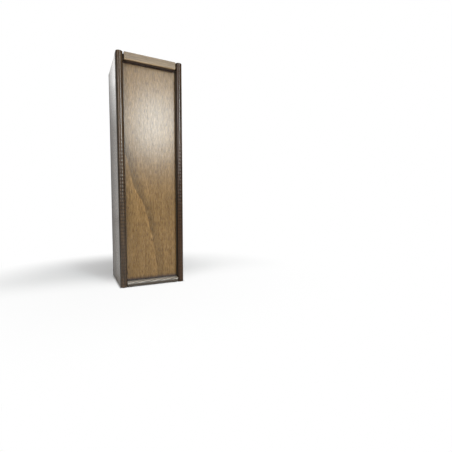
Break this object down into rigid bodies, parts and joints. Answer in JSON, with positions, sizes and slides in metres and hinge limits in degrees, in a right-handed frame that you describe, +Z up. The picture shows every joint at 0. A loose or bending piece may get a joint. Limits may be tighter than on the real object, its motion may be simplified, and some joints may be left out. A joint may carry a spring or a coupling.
{
  "type": "wooden wine box",
  "caption": "Upright wooden box for a wine bottle, dark stained, with half-round front edges and a panel lid that slides up and out by a batten pull.",
  "frame": {"origin": "centre of the footprint, on the surface that the box stands on", "axes": "+Z up along the box's length, -Y out of the lid's face, +X to the right as seen from the front"},
  "size_m": [0.1, 0.1, 0.35],
  "materials": {
    "dark_stained_board": "dark walnut stain under satin lacquer",
    "stained_plywood": "brown stain under satin lacquer",
    "light_stained_batten": "light brown stain under satin lacquer",
    "brad_steel": "bright wire"
  },
  "bodies": {
    "case": {"left_side": "dark_stained_board", "right_side": "dark_stained_board", "bottom_board": "dark_stained_board", "top_board": "dark_stained_board", "back_panel": "stained_plywood", "left_side_brads": "brad_steel", "right_side_brads": "brad_steel", "back_panel_brads": "brad_steel"},
    "lid": {"lid_panel": "stained_plywood", "lid_batten": "light_stained_batten", "lid_batten_brads": "brad_steel"}
  },
  "joints": [
    {"name": "lid_slide", "type": "slide", "parent": "case", "child": "lid", "axis": [0, 0, 1], "range_m": [0, 0.36]}
  ]
}
